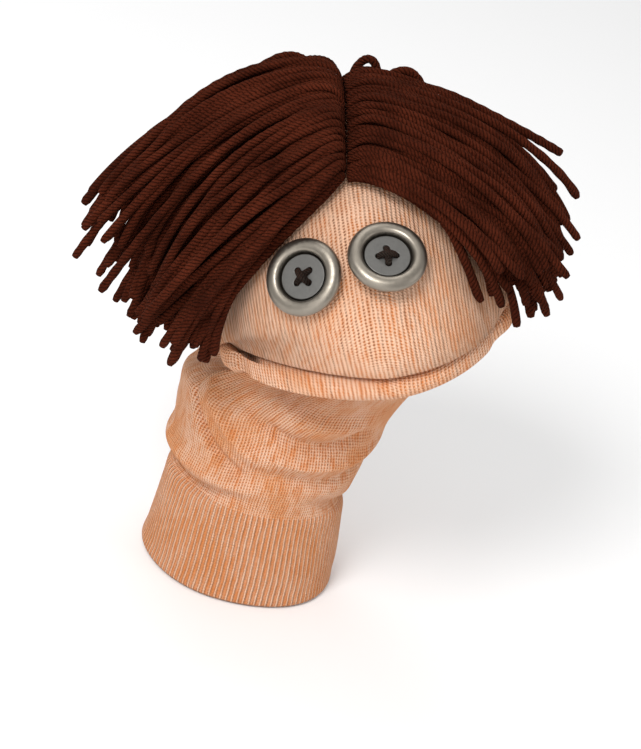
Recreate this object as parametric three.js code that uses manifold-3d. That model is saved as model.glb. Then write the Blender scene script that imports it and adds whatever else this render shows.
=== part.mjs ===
// A sock puppet, in millimetres, +Z up. The origin is the centre of the cuff's opening, the leg of the sock
// rises along +Z, and the puppet faces -Y. The head is worn tilted to one side, so its pieces are drawn in a
// frame of their own, the mouth frame, whose origin is the middle of the line through the mouth's corners.
import * as THREE from "three";
import { mergeVertices } from "three/addons/utils/BufferGeometryUtils.js";
import Module from "manifold-3d";

const wasm = await Module();
wasm.setup();

// ---- Driving dimensions ----
const GAP = 0.3; // between pieces that lie against each other
const WALL = 2; // the knitted wall
const DEG = Math.PI / 180;

// The leg's oval sections, from the cuff's edge to the wrist: height, half width, half depth and centre.
const LEG = [
  { z: 0, wide: 34.6, deep: 32, x: 0 },
  { z: 8, wide: 34.4, deep: 31.5, x: 0 },
  { z: 22, wide: 33.2, deep: 30.5, x: -0.8 },
  { z: 34, wide: 32.4, deep: 29.5, x: -1.2 },
  { z: 48, wide: 34.2, deep: 30, x: -0.8 },
  { z: 62, wide: 36.6, deep: 30.6, x: 0 },
  { z: 78, wide: 38.6, deep: 31, x: 0.8 },
];
const CUFF_TOP = 34;
const LEG_TOP = 46;
const ANKLE = [59.3, 64];
const NAPE_FOOT = 77.3;
const SIDES = 36; // corners round each section

// The mouth frame: where it stands, how far it is turned about the leg, and how far the head leans.
const MOUTH = new THREE.Vector3(12.6, -28, 115);
const HEAD_TURN = 7.5 * DEG;
const HEAD_TILT = 25 * DEG;
const MOUTH_HALF = 45.5; // from the middle to a corner
const HEAD_BACK = 54; // from the corners' line to the back of the head
const THROAT = 21; // from the corners' line down to the throat

// The head's outline on its middle plane, as (forward, up), from the back over the crown to the upper lip.
const HEAD_OUTLINE = [
  [-54, GAP], [-60, 28], [-54, 56], [-38, 69], [-18, 70], [2, 62], [20, 52], [36, 38], [47, 23], [51, 11],
  [49.5, 4], [44, GAP],
];
// The lower jaw's, from the mouth's fold along the lower lip and back under the chin to the throat.
const JAW_OUTLINE = [
  [44, -GAP], [48.5, -2.5], [48.5, -6], [42, -9.5], [30, -13.5], [17, -17.5], [3, -20.6],
];
// The mouth's outline is two superellipses, one each side of the middle of the lip, which is off to one side.
const LIP_MIDDLE = 0.17;
const LIP_POWERS = { left: 1.32, right: 2.1 };
const BROW_POWER = 2.2; // the forehead's outline, which is even from side to side
const CHEEK_POWER = 2.2; // how full the head is from side to side
const CHIN_POWER = 2.1;
const LIP_ROLL = 8; // how far the lips roll into the mouth
const JAW_OPENS = 35 * DEG;

// The buttons: 25.4 mm across, with a rounded rim round a sunken plate that has four holes.
const BUTTON = { radius: 12.7, well: 7.9, thick: 4, plate: 7.5, floor: 1.1, top: 2.2, hole: 1.1, holeAt: 2.1 };
const THREAD = 0.8;
// Where the middle of each button lies on the head: across the mouth, and along the outline from back to lip.
// The right one is sewn on loosely, and its lower edge stands off the knit.
const EYES = {
  left: { across: -0.29, along: 0.783, spin: 8, tilt: 0, lift: 0.6 },
  right: { across: 0.278, along: 0.775, spin: 24, tilt: 13, lift: 2 },
};

// ---- Tools ----
const v3 = (x, y, z) => new THREE.Vector3(x, y, z);
const mix = THREE.MathUtils.lerp;
const range = (n, f) => Array.from({ length: n }, (_, i) => f(i));

// A closed mesh from rings of points: the sides between them, and a fan over each open end.
function loft(rings, closed = false) {
  const n = rings[0].length;
  const points = rings.flat();
  const index = [];
  const last = closed ? rings.length : rings.length - 1;
  for (let i = 0; i < last; i++) {
    for (let j = 0; j < n; j++) {
      const a = i * n + j;
      const b = i * n + ((j + 1) % n);
      const c = ((i + 1) % rings.length) * n + j;
      const d = ((i + 1) % rings.length) * n + ((j + 1) % n);
      index.push(a, b, d, a, d, c);
    }
  }
  if (!closed) {
    const top = (rings.length - 1) * n;
    for (const [start, turned] of [[0, true], [top, false]]) {
      const ring = points.slice(start, start + n);
      const middle = points.push(ring.reduce((s, p) => s.add(p), v3(0, 0, 0)).divideScalar(n)) - 1;
      for (let j = 0; j < n; j++) {
        const a = start + j;
        const b = start + ((j + 1) % n);
        index.push(...(turned ? [middle, b, a] : [middle, a, b]));
      }
    }
  }
  const made = new THREE.BufferGeometry().setFromPoints(points);
  made.setIndex(index);
  return facingOut(made);
}

// Turns the faces round if the mesh is inside out.
function facingOut(geometry) {
  const p = geometry.getAttribute("position");
  const index = geometry.index.array;
  const [a, b, c] = [v3(), v3(), v3()];
  let volume = 0;
  for (let i = 0; i < index.length; i += 3) {
    a.fromBufferAttribute(p, index[i]);
    b.fromBufferAttribute(p, index[i + 1]);
    c.fromBufferAttribute(p, index[i + 2]);
    volume += a.dot(b.cross(c));
  }
  if (volume < 0) {
    for (let i = 0; i < index.length; i += 3) [index[i + 1], index[i + 2]] = [index[i + 2], index[i + 1]];
  }
  return geometry;
}

// A mesh as a solid that can be cut and joined, and back again.
function solid(geometry) {
  const bare = geometry.clone();
  bare.deleteAttribute("normal");
  bare.deleteAttribute("uv");
  const merged = mergeVertices(bare, 1e-4);
  return new wasm.Manifold(new wasm.Mesh({
    numProp: 3,
    vertProperties: new Float32Array(merged.getAttribute("position").array),
    triVerts: new Uint32Array(merged.index.array),
  }));
}

function fromSolid(made) {
  const mesh = made.getMesh();
  const geometry = new THREE.BufferGeometry();
  geometry.setAttribute("position", new THREE.BufferAttribute(new Float32Array(mesh.vertProperties), 3));
  geometry.setIndex(new THREE.BufferAttribute(new Uint32Array(mesh.triVerts), 1));
  return geometry;
}

const placed = (geometry, matrix) => geometry.clone().applyMatrix4(matrix);

// A smooth line through hand-set points of the plane, sampled evenly.
function throughPoints(points, count) {
  const curve = new THREE.CatmullRomCurve3(points.map(([f, h]) => v3(f, h, 0)), false, "centripetal");
  return curve.getSpacedPoints(count - 1).map((p) => [p.x, p.y]);
}

// ---- Materials ----
const material = (color, roughness, metalness = 0) => new THREE.MeshStandardMaterial({ color, roughness, metalness });
const knit = material(0xe3b08c, 0.95);
const ribbed = material(0xd99a70, 0.95);
const lining = material(0xc98f6c, 0.95);
const yarn = material(0x3d1a12, 0.95);
const rimMetal = material(0xa9a49c, 0.35, 0.9);
const plateMetal = material(0x8f9090, 0.5, 0.85);
const darkThread = material(0x16120f, 0.9);

const puppet = new THREE.Group();
const head = new THREE.Group();
head.position.copy(MOUTH);
head.rotation.set(0, -HEAD_TILT, -HEAD_TURN, "ZYX");
puppet.add(head);
head.updateMatrix();
const hair = new THREE.Group(); // turned as the head is, but upright, as the yarn hangs
hair.position.copy(MOUTH);
hair.rotation.z = -HEAD_TURN;
puppet.add(hair);

function add(parent, name, geometry, look) {
  const mesh = new THREE.Mesh(geometry, look);
  mesh.name = name;
  parent.add(mesh);
  return mesh;
}

// ---- The leg of the sock ----
// The leg's section at a height, read off the stations by a cubic that passes through them.
function legAt(z) {
  const i = Math.max(0, Math.min(LEG.length - 2, LEG.findLastIndex((s) => s.z <= z)));
  const [p, a, b, n] = [LEG[Math.max(i - 1, 0)], LEG[i], LEG[i + 1], LEG[Math.min(i + 2, LEG.length - 1)]];
  const span = b.z - a.z;
  const t = (z - a.z) / span;
  const read = (key) => {
    const start = ((b[key] - p[key]) / (b.z - p.z)) * span;
    const end = ((n[key] - a[key]) / (n.z - a.z)) * span;
    const [t2, t3] = [t * t, t * t * t];
    return (2 * t3 - 3 * t2 + 1) * a[key] + (t3 - 2 * t2 + t) * start
      + (3 * t2 - 2 * t3) * b[key] + (t3 - t2) * end;
  };
  return { wide: read("wide"), deep: read("deep"), x: read("x") };
}

function legRing(z, inset = 0, sides = SIDES) {
  const { wide, deep, x } = legAt(z);
  return range(sides, (i) => {
    const turn = (i / sides) * 2 * Math.PI;
    return v3(x + (wide - inset) * Math.cos(turn), (deep - inset) * Math.sin(turn), z);
  });
}

// A length of the sock's tube, open at both ends.
function sleeve(low, high, steps) {
  const heights = range(steps + 1, (i) => mix(low, high, i / steps));
  const outside = heights.map((z) => legRing(z));
  const inside = heights.map((z) => legRing(z, WALL)).reverse();
  return loft([...outside, ...inside], true);
}

add(puppet, "cuff", sleeve(0, CUFF_TOP, 5), ribbed);
add(puppet, "leg", sleeve(CUFF_TOP + GAP, LEG_TOP, 2), knit);
add(puppet, "lower_ankle_fold", sleeve(LEG_TOP + GAP, ANKLE[0] - GAP, 3), knit);
add(puppet, "ankle", sleeve(...ANKLE, 1), knit);
add(puppet, "upper_ankle_fold", sleeve(ANKLE[1] + GAP, NAPE_FOOT - GAP, 3), knit);

// ---- The head's surface ----
const fullness = (across, power) => (1 - Math.min(1, Math.abs(across)) ** power) ** (1 / power);

// How far forward the lips reach at a place across the mouth, as a fraction of their reach at its middle.
function lipReach(across) {
  const [side, power] = across < LIP_MIDDLE ? [-1, LIP_POWERS.left] : [1, LIP_POWERS.right];
  return fullness((across - LIP_MIDDLE) / (side - LIP_MIDDLE), power);
}

// A point of the head or jaw from a point of its outline: sections shrink towards the mouth's corners.
function swept([forward, up], across) {
  const isHead = up > 0;
  const lift = THREE.MathUtils.smoothstep(Math.abs(up), 4, 32);
  const even = fullness(across, isHead ? BROW_POWER : CHIN_POWER);
  const reach = forward < 0 ? fullness(across, 2) : mix(lipReach(across), even, lift);
  return v3(MOUTH_HALF * across, -forward * reach, up * fullness(across, isHead ? CHEEK_POWER : CHIN_POWER));
}

// A solid from one closed outline, swept from corner to corner.
function acrossMouth(outline, reach, steps) {
  const rings = range(steps + 1, (i) => {
    const across = reach * Math.sin(mix(-0.5, 0.5, i / steps) * Math.PI);
    return outline.map((p) => swept(p, across));
  });
  return loft(rings);
}

// The outline moved inwards by the wall.
function inset(line, by) {
  return line.map(([f, h], i) => {
    const [a, b] = [line[Math.max(i - 1, 0)], line[Math.min(i + 1, line.length - 1)]];
    const along = Math.hypot(b[0] - a[0], b[1] - a[1]);
    return [f + ((b[1] - a[1]) / along) * by, h - ((b[0] - a[0]) / along) * by];
  });
}

const HEAD_LINE = throughPoints(HEAD_OUTLINE, 20);
const JAW_LINE = throughPoints(JAW_OUTLINE, 14);
const END = 0.985; // the sweep stops just short of the corners, where a section would be a point
const HOLLOW_END = 0.93;
const BELOW = 6; // how far a cut runs past the face that it opens

function headShell() {
  const outside = acrossMouth(HEAD_LINE, END, 22);
  const lipEnd = HEAD_OUTLINE.at(-1)[0] - 1;
  const line = inset(HEAD_LINE, WALL).filter(([f, h]) => h > WALL && f < lipEnd + LIP_ROLL);
  const hollow = [[-HEAD_BACK + WALL, -BELOW], ...line, [lipEnd, WALL], [lipEnd, -BELOW]];
  return fromSolid(solid(outside).subtract(solid(acrossMouth(hollow, HOLLOW_END, 22))));
}

function jawOutside(grow = 0) {
  const rear = [[3 - grow, JAW_OUTLINE.at(-1)[1] - grow], [1 - grow, -GAP + grow]];
  return acrossMouth([...(grow ? inset(JAW_LINE, -grow) : JAW_LINE), ...rear.slice(grow ? 0 : 1)], END, 20);
}

function jawShell() {
  const lipEnd = JAW_OUTLINE[0][0] - 1;
  const line = inset(JAW_LINE, WALL).filter(([f, h]) => h < -WALL && f < lipEnd + LIP_ROLL);
  const hollow = [[lipEnd, BELOW], [lipEnd, -WALL], ...line, [-BELOW, -THROAT + WALL], [-BELOW, BELOW]];
  const cut = range(21, (i) => {
    const across = HOLLOW_END * Math.sin(mix(-0.5, 0.5, i / 20) * Math.PI);
    return hollow.map(([f, h]) => {
      const p = swept([f, Math.min(h, -GAP)], across);
      return h > 0 ? v3(p.x, p.y, h) : p;
    });
  });
  return fromSolid(solid(jawOutside()).subtract(solid(loft(cut))));
}

// The flat cloth inside the mouth: a plate in the mouth's outline, inside the rolled lips.
function mouthPlate(lipEnd, low, high) {
  const steps = 24;
  const reach = HOLLOW_END - 0.06;
  const edge = range(steps + 1, (i) => {
    const across = reach * Math.sin(mix(-0.5, 0.5, i / steps) * Math.PI);
    return new THREE.Vector2(MOUTH_HALF * across, (lipEnd - GAP) * lipReach(across) - GAP);
  });
  const shape = new THREE.Shape([new THREE.Vector2(MOUTH_HALF * reach, 1.2), ...edge.reverse(),
    new THREE.Vector2(-MOUTH_HALF * reach, 1.2)]);
  const plate = new THREE.ExtrudeGeometry(shape, { depth: high - low, bevelEnabled: false, curveSegments: 1 });
  return plate.rotateX(Math.PI).translate(0, 0, high);
}

add(head, "head", headShell(), knit);
add(head, "jaw", jawShell(), knit);
add(head, "mouth_roof", mouthPlate(HEAD_OUTLINE.at(-1)[0] - 1, GAP, WALL - 0.4), lining);
add(head, "mouth_floor", mouthPlate(JAW_OUTLINE[0][0] - 1, -WALL + 0.4, -GAP), lining);

// ---- The nape: the tube from the wrist up to the head's rim and round under the jaw ----
function napeRing(rise, inward) {
  const foot = legRing(NAPE_FOOT, inward);
  return foot.map((start, i) => {
    const turn = (i / SIDES) * 2 * Math.PI;
    const [side, behind] = [Math.cos(turn), Math.sin(turn)];
    const local = behind >= 0
      ? v3((MOUTH_HALF * END - inward) * side, (HEAD_BACK - inward) * behind, -GAP)
      : v3((MOUTH_HALF * END - inward) * side, inward, (THROAT - inward * 0.5) * behind);
    const end = local.applyMatrix4(head.matrix);
    const leave = v3(0, 0, 12);
    const arrive = v3(0, 14 * Math.min(behind, 0), 24 * Math.max(behind, 0)).transformDirection(head.matrix);
    arrive.multiplyScalar(behind >= 0 ? 24 * behind : -14 * behind);
    const [t, t2, t3] = [rise, rise ** 2, rise ** 3];
    return v3(0, 0, 0)
      .addScaledVector(start, 2 * t3 - 3 * t2 + 1)
      .addScaledVector(leave, t3 - 2 * t2 + t)
      .addScaledVector(end, 3 * t2 - 2 * t3)
      .addScaledVector(arrive, t3 - t2);
  });
}

// The jaw swings back into the nape as it opens, so the nape is cut to clear it all the way.
function nape() {
  const steps = 5;
  const rises = range(steps + 1, (i) => i / steps);
  const outside = rises.map((t) => napeRing(t, 0));
  const inside = rises.map((t) => napeRing(t, WALL)).reverse();
  let made = solid(loft([...outside, ...inside], true));
  for (const turn of range(6, (i) => (JAW_OPENS * i) / 5)) {
    const swing = new THREE.Matrix4().makeRotationX(turn);
    made = made.subtract(solid(placed(jawOutside(0.8), head.matrix.clone().multiply(swing))));
  }
  return fromSolid(made.decompose().sort((a, b) => b.volume() - a.volume())[0]);
}

add(puppet, "nape", nape(), knit);

// ---- The button eyes ----
function buttonRim() {
  const { radius, well, thick, floor } = BUTTON;
  const section = new THREE.Path();
  section.moveTo(well, 0);
  section.lineTo(radius - 1.6, 0);
  section.quadraticCurveTo(radius, 0.2, radius, 1.6);
  section.quadraticCurveTo(radius - 0.2, thick * 0.86, (radius + well) / 2 + 0.6, thick);
  section.quadraticCurveTo(well + 0.3, thick, well, thick - 1.2);
  section.lineTo(well, floor);
  return new THREE.LatheGeometry([...section.getPoints(3), new THREE.Vector2(well, 0)], 28).rotateX(Math.PI / 2);
}

function buttonPlate() {
  const { plate, floor, top, hole, holeAt } = BUTTON;
  const shape = new THREE.Shape().absarc(0, 0, plate, 0, 2 * Math.PI);
  for (const [x, y] of [[1, 1], [-1, 1], [-1, -1], [1, -1]]) {
    shape.holes.push(new THREE.Path().absarc(x * holeAt, y * holeAt, hole, 0, 2 * Math.PI, true));
  }
  const depth = top - floor;
  return new THREE.ExtrudeGeometry(shape, { depth, bevelEnabled: false, curveSegments: 9 }).translate(0, 0, floor);
}

// Two stitches that cross over the plate and go down through its holes.
function crossStitch() {
  const { top, holeAt } = BUTTON;
  const rise = top + GAP + THREAD;
  const bar = (turn, lift) => new THREE.CapsuleGeometry(THREAD, holeAt * Math.SQRT2 * 2, 2, 8)
    .rotateZ(turn).translate(0, 0, rise + lift);
  let made = solid(bar(Math.PI / 4, 0)).add(solid(bar(-Math.PI / 4, 0.35)));
  for (const [x, y] of [[1, 1], [-1, 1], [-1, -1], [1, -1]]) {
    const leg = new THREE.CylinderGeometry(THREAD, THREAD, rise - GAP, 8).rotateX(Math.PI / 2);
    made = made.add(solid(leg.translate(x * holeAt, y * holeAt, (rise + GAP) / 2)));
  }
  return fromSolid(made);
}

// The frame of a button: its middle on the head's surface, turned to face outwards.
function onHead({ across, along, spin, tilt, lift }) {
  const curve = new THREE.CatmullRomCurve3(HEAD_OUTLINE.map(([f, h]) => v3(f, h, 0)), false, "centripetal");
  const at = (a, s) => {
    const p = curve.getPointAt(s);
    return swept([p.x, p.y], a);
  };
  const middle = at(across, along);
  const sideways = at(across + 0.02, along).sub(at(across - 0.02, along)).normalize();
  const down = at(across, along + 0.01).sub(at(across, along - 0.01)).normalize();
  const out = down.clone().cross(sideways).normalize();
  const turn = new THREE.Matrix4().makeBasis(sideways, out.clone().cross(sideways), out);
  turn.multiply(new THREE.Matrix4().makeRotationX(-tilt * DEG));
  turn.multiply(new THREE.Matrix4().makeRotationZ(spin * DEG));
  return turn.setPosition(middle.addScaledVector(out, lift));
}

for (const [side, eye] of Object.entries(EYES)) {
  const frame = onHead(eye);
  add(head, `${side}_eye_rim`, placed(buttonRim(), frame), rimMetal);
  add(head, `${side}_eye_plate`, placed(buttonPlate(), frame), plateMetal);
  add(head, `${side}_eye_stitch`, placed(crossStitch(), frame), darkThread);
  const knot = new THREE.SphereGeometry(2.4, 10, 6).translate(0, 0, -WALL * 2 - 2.6);
  add(head, `${side}_eye_knot`, placed(knot, frame), darkThread);
}

// ---- The yarn hair ----
// Each side is one bunch of strands tied at the parting. A strand is a cubic, and its four handles are mixed from
// the bunch's corners: along the parting from its front to its back, and from the layer against the head to the
// outer one. A handle is (across, forward, up), in the upright frame at the mouth.
const PARTING = {
  under: [[-22, 14, 56], [-25.5, -19, 67.5], [-24.5, -54, 56.6]],
  over: [[-22.5, 17, 61], [-26.5, -19, 73], [-25.5, -56, 62]],
};
const PARTING_HALF = 2.2; // from the middle of the parting to each bunch
const TIE_HALF = 0.8;
const BUNCHES = {
  left: {
    way: -1,
    under: [
      [[-29, 24, 49], [-47, 36, 20], [-51, 26, -11]],
      [[-44, -14, 72], [-70, -8, 38], [-66, 2, -18]],
      [[-31, -67, 52], [-38, -75, 26], [-40, -74, -8]],
    ],
    over: [
      [[-32, 32, 60], [-60, 44, 26], [-61, 32, -12]],
      [[-46, -16, 84], [-82, -10, 54], [-93, -4, 6]],
      [[-40, -58, 64], [-66, -62, 38], [-82, -56, 8]],
    ],
  },
  right: {
    way: 1,
    under: [
      [[-8, 18, 64], [14, 28, 56], [34, 32, 31]],
      [[-2, -18, 80], [30, -16, 70], [48, -8, 24]],
      [[-17, -72, 60], [-6, -80, 34], [-2, -77, -4]],
    ],
    over: [
      [[-4, 26, 73], [27, 34, 65], [44, 28, 32]],
      [[-4, -16, 84], [38, -14, 76], [60, -14, 36]],
      [[-8, -58, 66], [28, -64, 58], [52, -56, 30]],
    ],
  },
};
const LOCKS = { along: 5, deep: 2 };
const LOCK_STEPS = 8;

// The parabola through three evenly spaced points.
function throughThree(points, axis, t) {
  const [a, b, c] = points.map((p) => p[axis]);
  return a * (1 - t) * (1 - 2 * t) + b * 4 * t * (1 - t) + c * t * (2 * t - 1);
}

// The place in a bunch: along the parting (0 front, 1 back), layer (0 under, 1 over), and down the strand.
function inBunch(bunch, along, layer, down) {
  const handle = (under, over) => v3(...[0, 1, 2].map((axis) => (
    mix(throughThree(under, axis, along), throughThree(over, axis, along), layer))));
  const start = handle(PARTING.under, PARTING.over);
  start.x += bunch.way * PARTING_HALF;
  const rest = [0, 1, 2].map((k) => handle(bunch.under.map((row) => row[k]), bunch.over.map((row) => row[k])));
  const p = new THREE.CubicBezierCurve3(start, ...rest).getPoint(down);
  return v3(p.x, -p.y, p.z);
}

// One lock: the strands between four edges of the bunch, with its corners taken off.
function lock(bunch, column, row) {
  const edge = 0.035;
  const corner = 0.28;
  const [a0, a1] = [column / LOCKS.along + edge / 2, (column + 1) / LOCKS.along - edge / 2];
  const [l0, l1] = [row / LOCKS.deep + edge, (row + 1) / LOCKS.deep - edge];
  const outline = [
    [corner, 0], [1 - corner, 0], [1, corner], [1, 1 - corner],
    [1 - corner, 1], [corner, 1], [0, 1 - corner], [0, corner],
  ];
  const rings = range(LOCK_STEPS + 1, (i) => outline.map(([a, l]) => (
    inBunch(bunch, mix(a0, a1, a), mix(l0, l1, l), i / LOCK_STEPS))));
  return loft(rings);
}

for (const [side, bunch] of Object.entries(BUNCHES)) {
  for (let column = 0; column < LOCKS.along; column++) {
    for (let row = 0; row < LOCKS.deep; row++) {
      const layer = row ? "over" : "under";
      add(hair, `${side}_hair_${layer}_${column + 1}`, lock(bunch, column, row), yarn);
    }
  }
}

// The thread that ties both bunches down along the parting.
function partingTie() {
  const half = TIE_HALF;
  const rings = range(9, (i) => {
    const [low, high] = [PARTING.under, PARTING.over].map((rows) => (
      v3(throughThree(rows, 0, i / 8), -throughThree(rows, 1, i / 8), throughThree(rows, 2, i / 8))));
    return [v3(low.x + half, low.y, low.z), v3(high.x + half, high.y, high.z - 2),
      v3(high.x - half, high.y, high.z - 2), v3(low.x - half, low.y, low.z)];
  });
  return loft(rings);
}
add(hair, "parting_tie", partingTie(), darkThread);

export default puppet;
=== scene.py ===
"""The looks of the sock puppet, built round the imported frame.

Lengths here are in millimetres until a mesh is made."""

import math

import bpy
import numpy as np
from mathutils import Matrix, Vector


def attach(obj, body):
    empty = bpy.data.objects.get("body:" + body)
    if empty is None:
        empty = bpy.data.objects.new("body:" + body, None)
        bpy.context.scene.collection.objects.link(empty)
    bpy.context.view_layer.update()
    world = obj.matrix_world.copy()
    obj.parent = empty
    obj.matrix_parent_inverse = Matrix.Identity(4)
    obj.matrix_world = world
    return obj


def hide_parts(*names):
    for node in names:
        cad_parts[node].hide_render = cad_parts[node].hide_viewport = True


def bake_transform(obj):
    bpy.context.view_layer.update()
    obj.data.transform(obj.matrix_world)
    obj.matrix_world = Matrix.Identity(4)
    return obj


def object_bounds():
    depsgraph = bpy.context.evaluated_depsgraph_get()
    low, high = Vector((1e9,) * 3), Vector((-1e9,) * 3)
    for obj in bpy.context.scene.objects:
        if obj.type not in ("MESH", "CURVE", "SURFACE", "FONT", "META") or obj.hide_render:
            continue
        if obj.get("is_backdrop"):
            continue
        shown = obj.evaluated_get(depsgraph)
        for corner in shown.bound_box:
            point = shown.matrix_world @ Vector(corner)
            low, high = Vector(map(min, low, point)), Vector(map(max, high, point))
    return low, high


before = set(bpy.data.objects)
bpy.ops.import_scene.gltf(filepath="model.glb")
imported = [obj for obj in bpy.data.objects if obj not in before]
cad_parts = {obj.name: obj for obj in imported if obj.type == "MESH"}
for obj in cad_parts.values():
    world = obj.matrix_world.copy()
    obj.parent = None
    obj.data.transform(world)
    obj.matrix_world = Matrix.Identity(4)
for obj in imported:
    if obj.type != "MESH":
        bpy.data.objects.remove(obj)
cad_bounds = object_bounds()
MM = 0.001
rng = np.random.default_rng(11)
deg = math.radians

# ---- Camera: to the puppet's front right, above it, and rolled as the arm leans ----
AZIMUTH, ELEVATION, ROLL = deg(-15), deg(27.5), deg(17)
DISTANCE, LENS = 1.0, 133.3
SHIFT = (-0.0301, -0.064)  # where the cuff's opening lies from the middle of the view, in metres

right = Vector((math.cos(AZIMUTH), math.sin(AZIMUTH), 0))
level = math.cos(ELEVATION)
back = Vector((math.sin(AZIMUTH) * level, -math.cos(AZIMUTH) * level, math.sin(ELEVATION)))
up = back.cross(right)
roll_right = right * math.cos(ROLL) + up * math.sin(ROLL)
roll_up = up * math.cos(ROLL) - right * math.sin(ROLL)
camera = bpy.data.objects.new("camera", bpy.data.cameras.new("camera"))
bpy.context.scene.collection.objects.link(camera)
camera.data.lens = LENS
camera.data.sensor_width = 36
eye = back * DISTANCE - roll_right * SHIFT[0] - roll_up * SHIFT[1]
camera.matrix_world = Matrix((
    (roll_right.x, roll_up.x, back.x, eye.x),
    (roll_right.y, roll_up.y, back.y, eye.y),
    (roll_right.z, roll_up.z, back.z, eye.z),
    (0, 0, 0, 1)))
bpy.context.scene.camera = camera

# ---- Frames and tools ----
MOUTH = np.array([12.6, -28.0, 115.0])
TURN, TILT = deg(7.5), deg(25)


def rot_z(a):
    return np.array([[math.cos(a), -math.sin(a), 0], [math.sin(a), math.cos(a), 0], [0, 0, 1]])


def rot_y(a):
    return np.array([[math.cos(a), 0, math.sin(a)], [0, 1, 0], [-math.sin(a), 0, math.cos(a)]])


UPRIGHT = rot_z(-TURN)
HEAD = UPRIGHT @ rot_y(-TILT)


def from_head(p):
    return MOUTH + np.asarray(p) @ HEAD.T


def to_head(p):
    return (np.asarray(p) - MOUTH) @ HEAD


def from_upright(p):
    return MOUTH + np.asarray(p) @ UPRIGHT.T


def smoothstep(x, a, b):
    t = np.clip((x - a) / (b - a), 0, 1)
    return t * t * (3 - 2 * t)


def bump(x, middle, width):
    return np.exp(-((x - middle) / width) ** 2)


def spline(control, steps):
    """A smooth curve through each control, with its number of steps after it; any shape past the first axis."""
    d = np.linalg.norm(np.diff(control, axis=0), axis=-1, keepdims=True) + 1e-5
    slope = np.diff(control, axis=0) / d
    tangent = np.empty_like(control)
    tangent[0], tangent[-1] = slope[0], slope[-1]
    tangent[1:-1] = (slope[1:] * d[:-1] + slope[:-1] * d[1:]) / (d[:-1] + d[1:])
    rows = []
    for k, n in enumerate(steps):
        for t in np.arange(n) / n:
            rows.append((2 * t**3 - 3 * t**2 + 1) * control[k] + (t**3 - 2 * t**2 + t) * d[k] * tangent[k]
                        + (3 * t**2 - 2 * t**3) * control[k + 1] + (t**3 - t**2) * d[k] * tangent[k + 1])
    rows.append(control[-1])
    return np.array(rows)


def new_mesh(name, verts, faces, uvs=None, smooth=True):
    mesh = bpy.data.meshes.new(name)
    points = [tuple(v) for v in np.asarray(verts) * MM]
    mesh.from_pydata(points, [], [tuple(int(i) for i in f) for f in faces])
    if uvs is not None:
        layer = mesh.uv_layers.new(name="knit")
        layer.data.foreach_set("uv", np.asarray(uvs, np.float32).ravel())
    mesh.polygons.foreach_set("use_smooth", [smooth] * len(mesh.polygons))
    mesh.update()
    obj = bpy.data.objects.new(name, mesh)
    bpy.context.scene.collection.objects.link(obj)
    return obj


# ---- Material tools ----
class Nodes:
    """A material's nodes, with short names for its arithmetic."""

    def __init__(self, name):
        self.material = bpy.data.materials.new(name)
        self.material.use_nodes = True
        self.tree = self.material.node_tree
        self.shader = self.tree.nodes["Principled BSDF"]

    def node(self, kind, **values):
        made = self.tree.nodes.new(kind)
        for key, value in values.items():
            setattr(made, key, value)
        return made

    def put(self, socket, value):
        if isinstance(value, bpy.types.NodeSocket):
            self.tree.links.new(value, socket)
        else:
            socket.default_value = value

    def math(self, kind, a, b=0.0, c=0.0):
        made = self.node("ShaderNodeMath", operation=kind)
        for socket, value in zip(made.inputs, (a, b, c)):
            self.put(socket, value)
        return made.outputs[0]

    def add(self, a, b):
        return self.math("ADD", a, b)

    def sub(self, a, b):
        return self.math("SUBTRACT", a, b)

    def mul(self, a, b):
        return self.math("MULTIPLY", a, b)

    def ramp(self, value, low, high, to_low=0.0, to_high=1.0):
        made = self.node("ShaderNodeMapRange", interpolation_type="SMOOTHSTEP")
        for socket, v in zip(made.inputs, (value, low, high, to_low, to_high)):
            self.put(socket, v)
        return made.outputs[0]

    def mix(self, factor, a, b):
        made = self.node("ShaderNodeMix", data_type="RGBA")
        self.put(made.inputs[0], factor)
        self.put(made.inputs[6], a)
        self.put(made.inputs[7], b)
        return made.outputs[2]

    def noise(self, vector, scale, detail=2.0, rough=0.5):
        made = self.node("ShaderNodeTexNoise")
        if vector is not None:
            self.put(made.inputs["Vector"], vector)
        for key, value in (("Scale", scale), ("Detail", detail), ("Roughness", rough)):
            self.put(made.inputs[key], value)
        return made.outputs[0]

    def vector(self, x, y, z=0.0):
        made = self.node("ShaderNodeCombineXYZ")
        for socket, value in zip(made.inputs, (x, y, z)):
            self.put(socket, value)
        return made.outputs[0]

    def height(self, value, distance, strength=1.0):
        made = self.node("ShaderNodeBump")
        for key, v in (("Height", value), ("Distance", distance), ("Strength", strength)):
            self.put(made.inputs[key], v)
        self.put(self.shader.inputs["Normal"], made.outputs[0])

    def set(self, **values):
        for key, value in values.items():
            self.put(self.shader.inputs[key.replace("_", " ")], value)
        return self.material


# ---- The knit ----
LEG_WALES, HEAD_WALES = 212, 196  # columns of stitches round the leg, and round the stretched head
COURSE = 1.08  # from one row of stitches to the next
PALE = (0.84, 0.52, 0.355, 1)
ORANGE = (0.66, 0.19, 0.04, 1)
BROWN = (0.27, 0.10, 0.045, 1)


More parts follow.
